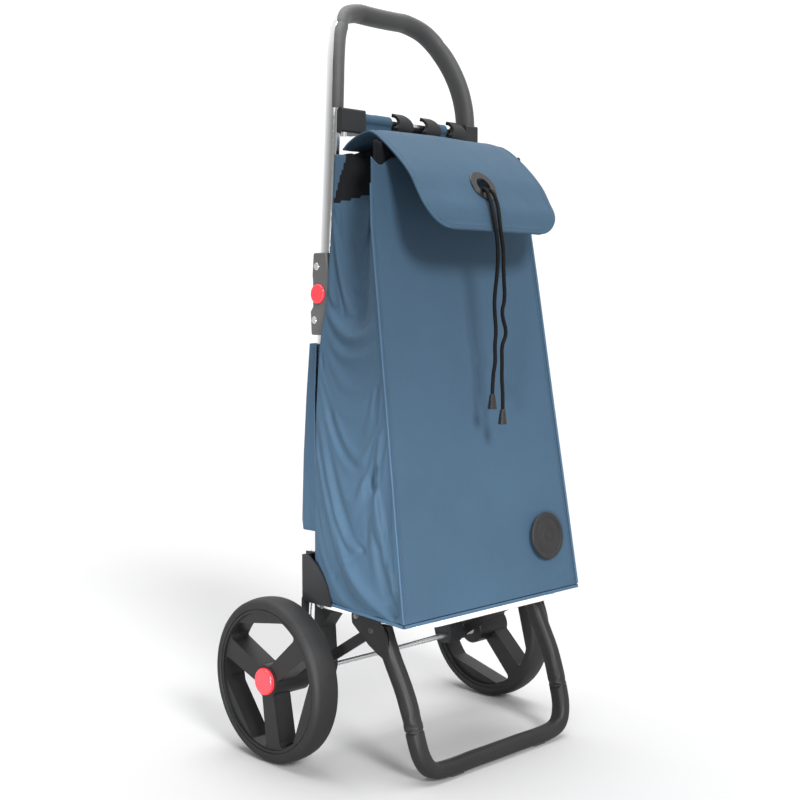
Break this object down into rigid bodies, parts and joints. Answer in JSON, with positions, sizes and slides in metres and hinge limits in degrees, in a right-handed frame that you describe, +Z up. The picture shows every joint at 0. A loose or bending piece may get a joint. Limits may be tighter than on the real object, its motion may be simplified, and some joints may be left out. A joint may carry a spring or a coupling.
{
  "type": "folding shopping trolley",
  "caption": "Upright two-wheeled folding trolley with a tall tapering cloth bag, a hooded flap with drawcords, a looped handle, hinged side links and a folding moulded foot.",
  "frame": {"origin": "on the floor, under the middle of the trolley's outline", "axes": "+Z up, -Y to the front of the bag, +X to the right of a person pushing it"},
  "size_m": [0.475, 0.3284, 1.0248],
  "materials": {
    "badge_plastic": "satin",
    "bag_cloth": "plain woven",
    "black_steel": "satin",
    "board_plastic": "matt",
    "bracket_plastic": "satin",
    "bush_plastic": "satin",
    "carrier_plastic": "satin",
    "collar_cloth": "thin woven",
    "cord_end_plastic": "satin",
    "cord_textile": "braided",
    "eyelet_plastic": "satin",
    "flap_cloth": "plain woven",
    "foot_plastic": "satin",
    "grip_foam": "soft matt",
    "guard_plastic": "satin",
    "handle_metal": "polished",
    "hook_plastic": "satin",
    "link_plastic": "satin",
    "pocket_cloth": "plain woven",
    "red_plastic": "gloss",
    "rivet_steel": "polished",
    "sleeve_cloth": "plain woven",
    "spring_steel": "plain",
    "steel": "brushed",
    "tube_metal": "polished",
    "tyre_foam": "matt",
    "wheel_plastic": "satin",
    "white_steel": "gloss"
  },
  "bodies": {
    "root": {"lower_tube_left": "tube_metal", "lower_tube_right": "tube_metal", "axle_carrier_left": "carrier_plastic", "axle_carrier_right": "carrier_plastic", "corner_guard_left": "guard_plastic", "corner_guard_right": "guard_plastic", "cross_strip": "steel", "frame_rivets": "rivet_steel", "platform_rivets": "rivet_steel", "axle": "steel", "axle_spacers": "bush_plastic", "hinge_pins_lower": "steel", "bag_shell": "bag_cloth", "drawstring_collar": "collar_cloth", "rear_pocket": "pocket_cloth", "hanging_rod": "steel", "rod_sleeve": "sleeve_cloth", "badge": "badge_plastic"},
    "fold_link": {"hinge_link_left": "link_plastic", "hinge_link_right": "link_plastic", "hinge_pins_upper": "steel", "release_spring_left": "spring_steel", "release_spring_right": "spring_steel"},
    "upper_frame": {"handle_tube": "handle_metal", "handle_grip": "grip_foam", "crossbar": "bracket_plastic", "bag_hooks": "hook_plastic", "crossbar_bracket_left": "bracket_plastic", "crossbar_bracket_right": "bracket_plastic", "bracket_screws": "steel"},
    "platform": {"platform_tube": "white_steel", "platform_wires": "white_steel", "base_board": "board_plastic", "leg_rivets": "rivet_steel"},
    "foot": {"foot": "foot_plastic", "foot_pads": "grip_foam", "strut_rivets": "rivet_steel"},
    "struts": {"strut_left": "black_steel", "strut_right": "black_steel"},
    "wheel_left": {"wheel_left": "wheel_plastic", "tyre_left": "tyre_foam", "wheel_bush_left": "bush_plastic", "hub_spring_left": "spring_steel"},
    "wheel_right": {"wheel_right": "wheel_plastic", "tyre_right": "tyre_foam", "wheel_bush_right": "bush_plastic", "hub_spring_right": "spring_steel"},
    "hub_button_left": {"hub_button_left": "red_plastic"},
    "hub_button_right": {"hub_button_right": "red_plastic"},
    "release_button_left": {"release_button_left": "red_plastic"},
    "release_button_right": {"release_button_right": "red_plastic"},
    "flap": {"flap": "flap_cloth", "eyelet": "eyelet_plastic", "cord_left_upper": "cord_textile", "cord_right_upper": "cord_textile"},
    "cords": {"cord_left_lower": "cord_textile", "cord_right_lower": "cord_textile", "cord_end_left": "cord_end_plastic", "cord_end_right": "cord_end_plastic"}
  },
  "joints": [
    {"name": "wheel_left_spin", "type": "hinge", "parent": "root", "child": "wheel_left", "pos_m": [-0.215, 0.054, 0.11], "axis": [1, 0, 0], "continuous": true},
    {"name": "wheel_right_spin", "type": "hinge", "parent": "root", "child": "wheel_right", "pos_m": [0.215, 0.054, 0.11], "axis": [1, 0, 0], "continuous": true},
    {"name": "hub_button_left_press", "type": "slide", "parent": "wheel_left", "child": "hub_button_left", "axis": [1, 0, 0], "range_m": [0, 0.003], "stiffness_N_per_m": 600, "springref_m": -0.002, "deforming": ["hub_spring_left"]},
    {"name": "hub_button_right_press", "type": "slide", "parent": "wheel_right", "child": "hub_button_right", "axis": [-1, 0, 0], "range_m": [0, 0.003], "stiffness_N_per_m": 600, "springref_m": -0.002, "deforming": ["hub_spring_right"]},
    {"name": "handle_fold", "type": "hinge", "parent": "root", "child": "fold_link", "pos_m": [0, 0.053, 0.588], "axis": [-1, 0, 0], "range_deg": [0, 90], "deforming": ["rod_sleeve", "hanging_rod"]},
    {"name": "handle_top_fold", "type": "hinge", "parent": "fold_link", "child": "upper_frame", "pos_m": [0, 0.048, 0.66], "axis": [-1, 0, 0], "range_deg": [0, 90]},
    {"name": "release_left_press", "type": "slide", "parent": "fold_link", "child": "release_button_left", "axis": [1, 0, 0], "range_m": [0, 0.004], "stiffness_N_per_m": 600, "springref_m": -0.002, "deforming": ["release_spring_left"]},
    {"name": "release_right_press", "type": "slide", "parent": "fold_link", "child": "release_button_right", "axis": [-1, 0, 0], "range_m": [0, 0.004], "stiffness_N_per_m": 600, "springref_m": -0.002, "deforming": ["release_spring_right"]},
    {"name": "platform_fold", "type": "hinge", "parent": "root", "child": "platform", "pos_m": [0, 0.033, 0.2025], "axis": [-1, 0, 0], "range_deg": [0, 90], "deforming": ["bag_shell", "badge"]},
    {"name": "foot_swing", "type": "hinge", "parent": "platform", "child": "foot", "pos_m": [0, -0.044, 0.203], "axis": [1, 0, 0], "range_deg": [0, 119]},
    {"name": "strut_swing", "type": "hinge", "parent": "root", "child": "struts", "pos_m": [0, 0.054, 0.11], "axis": [-1, 0, 0], "range_deg": [0, 44]},
    {"name": "flap_open", "type": "hinge", "parent": "root", "child": "flap", "pos_m": [0, 0.0115, 0.812], "axis": [-1, 0, 0], "range_deg": [0, 40], "deforming": ["cord_left_upper", "cord_right_upper"]},
    {"name": "cords_hang", "type": "hinge", "parent": "flap", "child": "cords", "pos_m": [0, -0.154, 0.697], "axis": [1, 0, 0], "range_deg": [0, 40], "deforming": ["cord_left_lower", "cord_right_lower"]}
  ],
  "couplings": [
    {"joint": "handle_top_fold", "follows": "handle_fold", "ratio": 1},
    {"joint": "foot_swing", "follows": "platform_fold", "ratio": 1.3211},
    {"joint": "strut_swing", "follows": "platform_fold", "ratio": 0.4856},
    {"joint": "cords_hang", "follows": "flap_open", "ratio": 1}
  ]
}
